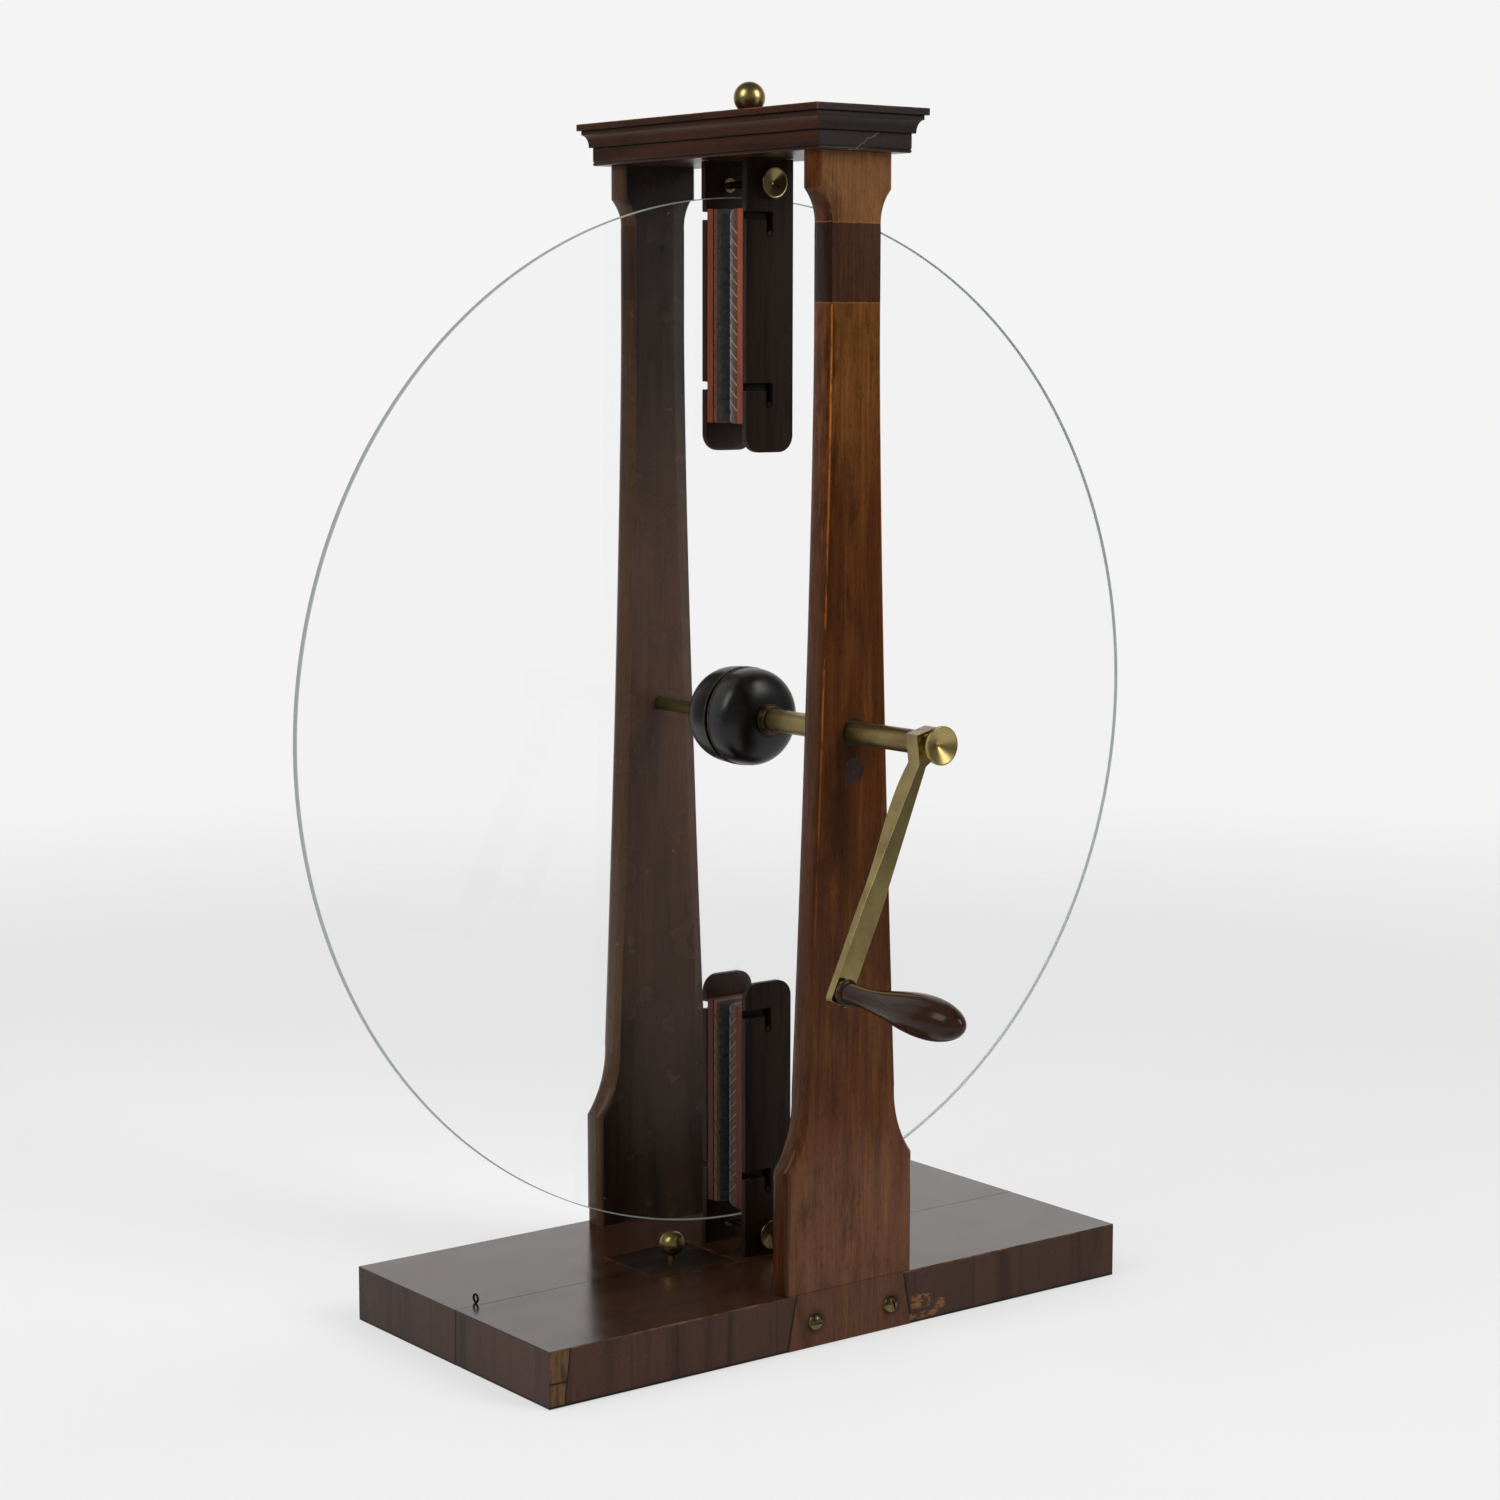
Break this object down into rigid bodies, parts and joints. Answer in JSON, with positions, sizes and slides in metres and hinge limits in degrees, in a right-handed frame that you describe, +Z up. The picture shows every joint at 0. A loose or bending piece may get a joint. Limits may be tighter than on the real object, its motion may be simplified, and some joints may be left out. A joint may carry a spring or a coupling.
{
  "type": "friction electrostatic machine",
  "caption": "Hand-cranked friction electrostatic machine: a large glass plate turns between clamped, stitched rubbers inside a tall pillared wooden stand.",
  "frame": {"origin": "middle of the base's underside, on the surface that the machine stands on", "axes": "+X along the base's long side, -Y towards the crank, +Z up"},
  "size_m": [0.6095, 0.3849, 0.7285],
  "materials": {
    "mahogany": "aged French polish",
    "dark_mahogany": "aged dark French polish",
    "ebonised_wood": "worn black polish",
    "board_wood": "dark stained",
    "red_wood": "brick-red stain",
    "handle_wood": "polished",
    "brass": "aged lacquer",
    "dark_brass": "tarnished",
    "steel": "dull",
    "glass": "clear, ground rim",
    "leather": "brown, worn",
    "felt": "grey, stitched"
  },
  "bodies": {
    "stand": {"base_front_plank": "mahogany", "base_rear_plank": "mahogany", "base_inlay": "dark_mahogany", "front_pillar": "mahogany", "rear_pillar": "mahogany", "front_plug": "ebonised_wood", "rear_plug": "ebonised_wood", "front_pillar_screws": "brass", "rear_pillar_screws": "brass", "cap_frieze": "dark_mahogany", "cap_moulding": "dark_mahogany", "cap_corona": "dark_mahogany", "cap_ball": "brass", "base_ball": "brass", "earth_eye": "dark_brass", "front_bush": "ebonised_wood", "rear_bush": "ebonised_wood"},
    "rotor": {"axle": "brass", "glass_plate": "glass", "front_boss": "ebonised_wood", "rear_boss": "ebonised_wood", "front_packing": "leather", "rear_packing": "leather", "hub_collar": "dark_brass", "hub_pin": "steel", "crank_arm": "brass", "crank_nut": "brass", "handle_spindle": "steel", "handle_washer": "brass"},
    "handle": {"crank_handle": "handle_wood"},
    "upper_front_clamp": {"upper_front_board": "board_wood"},
    "upper_front_rubber": {"upper_front_backing": "red_wood", "upper_front_leather": "leather", "upper_front_cushion": "felt", "upper_front_studs": "dark_brass"},
    "upper_rear_clamp": {"upper_rear_board": "board_wood", "upper_clamp_nut": "dark_brass"},
    "upper_rear_rubber": {"upper_rear_backing": "red_wood", "upper_rear_leather": "leather", "upper_rear_cushion": "felt", "upper_rear_studs": "dark_brass"},
    "upper_screw": {"upper_clamp_screw": "brass"},
    "lower_front_clamp": {"lower_front_board": "board_wood"},
    "lower_front_rubber": {"lower_front_backing": "red_wood", "lower_front_leather": "leather", "lower_front_cushion": "felt", "lower_front_studs": "dark_brass"},
    "lower_rear_clamp": {"lower_rear_board": "board_wood", "lower_clamp_nut": "dark_brass"},
    "lower_rear_rubber": {"lower_rear_backing": "red_wood", "lower_rear_leather": "leather", "lower_rear_cushion": "felt", "lower_rear_studs": "dark_brass"},
    "lower_screw": {"lower_clamp_screw": "brass"}
  },
  "joints": [
    {"name": "plate_turn", "type": "hinge", "parent": "stand", "child": "rotor", "pos_m": [0, 0, 0.357], "axis": [0, 1, 0], "continuous": true},
    {"name": "handle_spin", "type": "hinge", "parent": "rotor", "child": "handle", "pos_m": [-0.06092, -0.169, 0.22454], "axis": [0, -0.9996, -0.0279], "continuous": true},
    {"name": "upper_front_swing", "type": "hinge", "parent": "stand", "child": "upper_front_clamp", "pos_m": [0, -0.0205, 0.6835], "axis": [-1, 0, 0], "range_deg": [0, 0.5]},
    {"name": "upper_front_lift", "type": "slide", "parent": "upper_front_clamp", "child": "upper_front_rubber", "axis": [0, 0, 1], "range_m": [0, 0.0102]},
    {"name": "upper_rear_swing", "type": "hinge", "parent": "stand", "child": "upper_rear_clamp", "pos_m": [0, 0.0195, 0.6835], "axis": [1, 0, 0], "range_deg": [0, 0.5]},
    {"name": "upper_rear_lift", "type": "slide", "parent": "upper_rear_clamp", "child": "upper_rear_rubber", "axis": [0, 0, 1], "range_m": [0, 0.0102]},
    {"name": "upper_screw_turn", "type": "hinge", "parent": "upper_front_clamp", "child": "upper_screw", "pos_m": [0, -0.0226, 0.6695], "axis": [0, -1, 0], "range_deg": [0, 90]},
    {"name": "lower_front_swing", "type": "hinge", "parent": "stand", "child": "lower_front_clamp", "pos_m": [0, -0.0205, 0.0326], "axis": [1, 0, 0], "range_deg": [0, 0.5]},
    {"name": "lower_front_lift", "type": "slide", "parent": "lower_front_clamp", "child": "lower_front_rubber", "axis": [0, 0, 1], "range_m": [0, 0.0102]},
    {"name": "lower_rear_swing", "type": "hinge", "parent": "stand", "child": "lower_rear_clamp", "pos_m": [0, 0.0195, 0.0326], "axis": [-1, 0, 0], "range_deg": [0, 0.5]},
    {"name": "lower_rear_lift", "type": "slide", "parent": "lower_rear_clamp", "child": "lower_rear_rubber", "axis": [0, 0, 1], "range_m": [0, 0.0102]},
    {"name": "lower_screw_turn", "type": "hinge", "parent": "lower_front_clamp", "child": "lower_screw", "pos_m": [0, -0.0226, 0.045], "axis": [0, -1, 0], "range_deg": [0, 90]}
  ],
  "couplings": [
    {"joint": "upper_rear_swing", "follows": "upper_front_swing", "ratio": 1},
    {"joint": "upper_screw_turn", "follows": "upper_front_swing", "ratio": 176},
    {"joint": "lower_rear_swing", "follows": "lower_front_swing", "ratio": 1},
    {"joint": "lower_screw_turn", "follows": "lower_front_swing", "ratio": 156}
  ]
}
